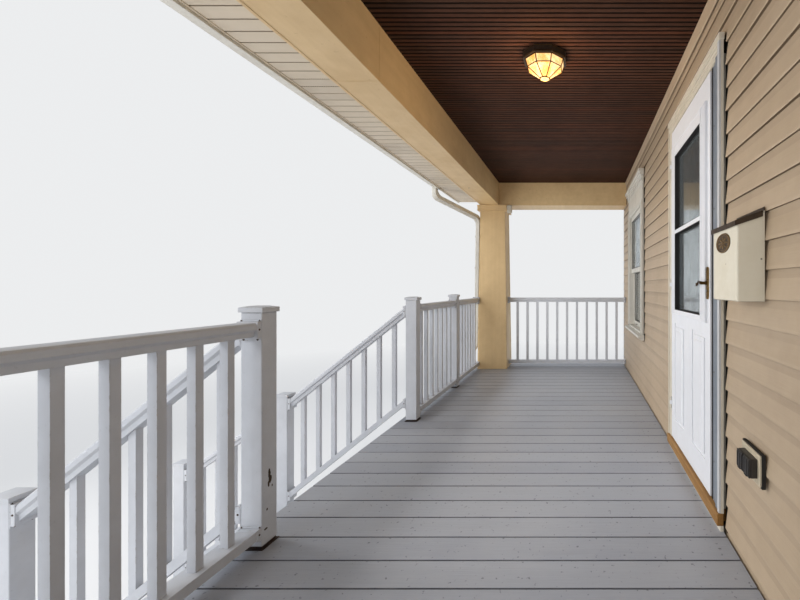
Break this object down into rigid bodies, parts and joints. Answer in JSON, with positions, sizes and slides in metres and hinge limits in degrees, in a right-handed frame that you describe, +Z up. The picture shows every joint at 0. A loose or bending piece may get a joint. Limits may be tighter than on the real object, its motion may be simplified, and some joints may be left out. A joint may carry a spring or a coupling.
{
  "type": "front porch",
  "caption": "Roofed timber front porch with a plank deck, railed stairs, tapered square columns, a beadboard ceiling and the house wall behind it.",
  "frame": {"origin": "on the ground at the centre of the footprint's bounding box", "axes": "+Z up; -Y towards the street, where the stairs come down; +Y into the house; +X to the right of a person facing the house"},
  "size_m": [6.8, 4.076, 4.55],
  "materials": {
    "masonry": "rough block",
    "framing": "sawn timber",
    "deck_paint": "worn grey floor paint",
    "white_paint": "semi-gloss paint",
    "tan_paint": "satin paint",
    "dark_stain": "dark stain",
    "roofing": "granular shingles",
    "siding": "embossed vinyl",
    "soffit_panels": "satin vinyl",
    "white_sheet": "baked enamel",
    "glass": "clear",
    "stained_wood": "varnished",
    "brass": "aged brass",
    "cream_metal": "satin enamel",
    "bronze_metal": "dark bronze enamel",
    "beige_plastic": "matte",
    "black_plastic": "semi-gloss",
    "amber_glass": "lit from inside"
  },
  "bodies": {
    "porch": {"foundation_wall": "masonry", "piers": "masonry", "deck_frame": "framing", "deck_floor": "deck_paint", "deck_fascia": "white_paint", "skirt_front": "white_paint", "skirt_ends": "white_paint", "stair_stringers": "framing", "stair_treads": "deck_paint", "stair_risers": "white_paint", "deck_posts": "white_paint", "stair_posts": "white_paint", "rail_front_left": "white_paint", "rail_front_right": "white_paint", "rail_ends": "white_paint", "stair_rail_left": "white_paint", "stair_rail_right": "white_paint", "column_left": "tan_paint", "column_right": "tan_paint", "beam_front": "tan_paint", "beam_ends": "tan_paint", "ceiling_panel": "dark_stain", "roof_slab": "roofing", "roof_end_panels": "siding", "eave_soffit": "soffit_panels", "eave_fascia": "white_paint", "gutter": "white_sheet", "downspouts": "white_sheet", "wall_left": "siding", "wall_right": "siding", "wall_door_bay": "siding", "corner_boards": "white_paint", "window_casings": "white_paint", "window_sashes": "white_paint", "window_glass": "glass", "door_casing": "white_paint", "door_sill": "stained_wood", "entry_door": "dark_stain", "mailbox_body": "cream_metal", "outlet_block": "beige_plastic", "outlet_cover": "black_plastic", "lamp_base": "bronze_metal", "lamp_glass": "amber_glass"},
    "storm_door": {"storm_door": "white_paint", "storm_door_glass": "glass", "lever_plate": "brass"},
    "door_lever": {"door_lever": "brass"},
    "mailbox_lid": {"mailbox_lid": "bronze_metal"},
    "outlet_flap_left": {"outlet_flap_left": "black_plastic"},
    "outlet_flap_right": {"outlet_flap_right": "black_plastic"}
  },
  "joints": [
    {"name": "storm_door_hinge", "type": "hinge", "parent": "porch", "child": "storm_door", "pos_m": [-0.228, 1.778, 1.344], "axis": [0, 0, -1], "range_deg": [0, 95]},
    {"name": "door_lever_turn", "type": "hinge", "parent": "storm_door", "child": "door_lever", "pos_m": [0.562, 1.784, 2.424], "axis": [0, -1, 0], "range_deg": [0, 40], "stiffness_Nm_per_rad": 0.8, "springref_deg": -28.65},
    {"name": "mailbox_lid_hinge", "type": "hinge", "parent": "porch", "child": "mailbox_lid", "pos_m": [1.018, 1.786, 2.6603], "axis": [-1, 0, 0], "range_deg": [0, 100]},
    {"name": "outlet_flap_left_hinge", "type": "hinge", "parent": "porch", "child": "outlet_flap_left", "pos_m": [1.0355, 1.7547, 1.809], "axis": [-1, 0, 0], "range_deg": [0, 120], "stiffness_Nm_per_rad": 0.02, "springref_deg": -28.65},
    {"name": "outlet_flap_right_hinge", "type": "hinge", "parent": "porch", "child": "outlet_flap_right", "pos_m": [1.0945, 1.7547, 1.809], "axis": [-1, 0, 0], "range_deg": [0, 120], "stiffness_Nm_per_rad": 0.02, "springref_deg": -28.65}
  ]
}
